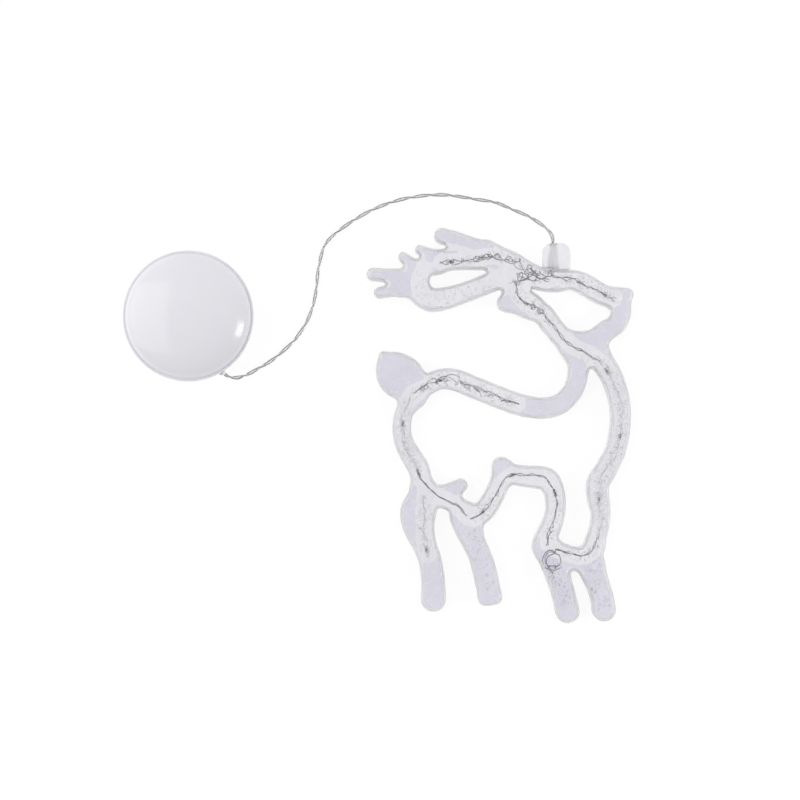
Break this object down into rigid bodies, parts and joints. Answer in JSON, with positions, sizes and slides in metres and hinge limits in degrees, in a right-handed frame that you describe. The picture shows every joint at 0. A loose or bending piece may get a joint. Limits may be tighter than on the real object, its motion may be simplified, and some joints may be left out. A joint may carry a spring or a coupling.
{
  "type": "hanging window light with battery box",
  "caption": "Flat clear reindeer outline with LED wire inside, on a short twisted lead from a round white battery box with a suction cup.",
  "frame": {"origin": "below the middle of the frame and box, on the surface they lie on", "axes": "+X towards the reindeer's nose, +Y towards its antlers, +Z out of its front face; it lies on its back"},
  "size_m": [0.2543, 0.2158, 0.0285],
  "materials": {
    "clear_shell": "clear injection moulding, polished, faint lavender grey",
    "clear_plate": "clear injection moulding, polished",
    "clear_gland": "clear moulding, faint steps inside",
    "lead_sleeve": "two clear insulated cores twisted together, grey conductor showing",
    "clear_grommet": "clear soft plastic",
    "white_base": "white moulding, satin inside and glossy outside",
    "white_cover": "white moulding, glossy dome",
    "cup_vinyl": "clear soft vinyl, glossy",
    "switch_can": "pressed steel can",
    "knob_black": "black moulding, fine spark-eroded texture",
    "board_green": "green solder resist",
    "chip_black": "moulded epoxy",
    "resistor_film": "dark film between tinned ends",
    "wire_red": "red insulation",
    "wire_black": "black insulation",
    "core_clear": "clear insulation over tinned strands",
    "cell_label": "plain shrink sleeve, nickel ends",
    "spring_steel": "nickel-plated spring wire",
    "contact_nickel": "nickel-plated strip",
    "enamel_wire": "fine tinned wire pair, enamelled",
    "led_resin": "clear resin drop over a pale yellow LED chip"
  },
  "bodies": {
    "base": {"frame_front_shell": "clear_shell", "frame_back_cover": "clear_plate", "cord_gland": "clear_gland", "lead": "lead_sleeve", "lead_grommet": "clear_grommet", "battery_base": "white_base", "switch_body": "switch_can", "circuit_board": "board_green", "control_chip": "chip_black", "resistor": "resistor_film", "box_wire_red": "wire_red", "box_wire_black": "wire_black", "lead_core_a": "core_clear", "lead_core_b": "core_clear", "cell_1": "cell_label", "contact_spring_1": "spring_steel", "contact_plate_1": "contact_nickel", "cell_2": "cell_label", "contact_spring_2": "spring_steel", "contact_plate_2": "contact_nickel", "cell_3": "cell_label", "contact_spring_3": "spring_steel", "contact_plate_3": "contact_nickel", "led_wire_antler": "enamel_wire", "led_antler_1": "led_resin", "led_antler_2": "led_resin", "led_wire_nose": "enamel_wire", "led_nose_1": "led_resin", "led_nose_2": "led_resin", "led_wire_chest": "enamel_wire", "led_chest_1": "led_resin", "led_chest_2": "led_resin", "led_chest_3": "led_resin", "led_chest_4": "led_resin", "led_wire_belly": "enamel_wire", "led_belly_1": "led_resin", "led_belly_2": "led_resin", "led_belly_3": "led_resin", "led_wire_flank": "enamel_wire", "led_flank_1": "led_resin", "led_flank_2": "led_resin", "led_wire_leg": "enamel_wire", "led_leg_1": "led_resin", "led_wire_back": "enamel_wire", "led_back_1": "led_resin", "led_back_2": "led_resin", "led_back_3": "led_resin"},
    "cover": {"battery_cover": "white_cover"},
    "switch": {"switch_knob": "knob_black"},
    "cup": {"suction_cup": "cup_vinyl"}
  },
  "joints": [
    {"name": "cover_pull", "type": "slide", "parent": "base", "child": "cover", "axis": [0, 0, 1], "range_m": [0, 0.03]},
    {"name": "switch_slide", "type": "slide", "parent": "base", "child": "switch", "axis": [0.8572, 0.515, 0], "range_m": [0, 0.0025]},
    {"name": "cup_swivel", "type": "hinge", "parent": "base", "child": "cup", "pos_m": [-0.09465, 0.05445, 0.006], "axis": [0, 0, 1], "continuous": true}
  ]
}
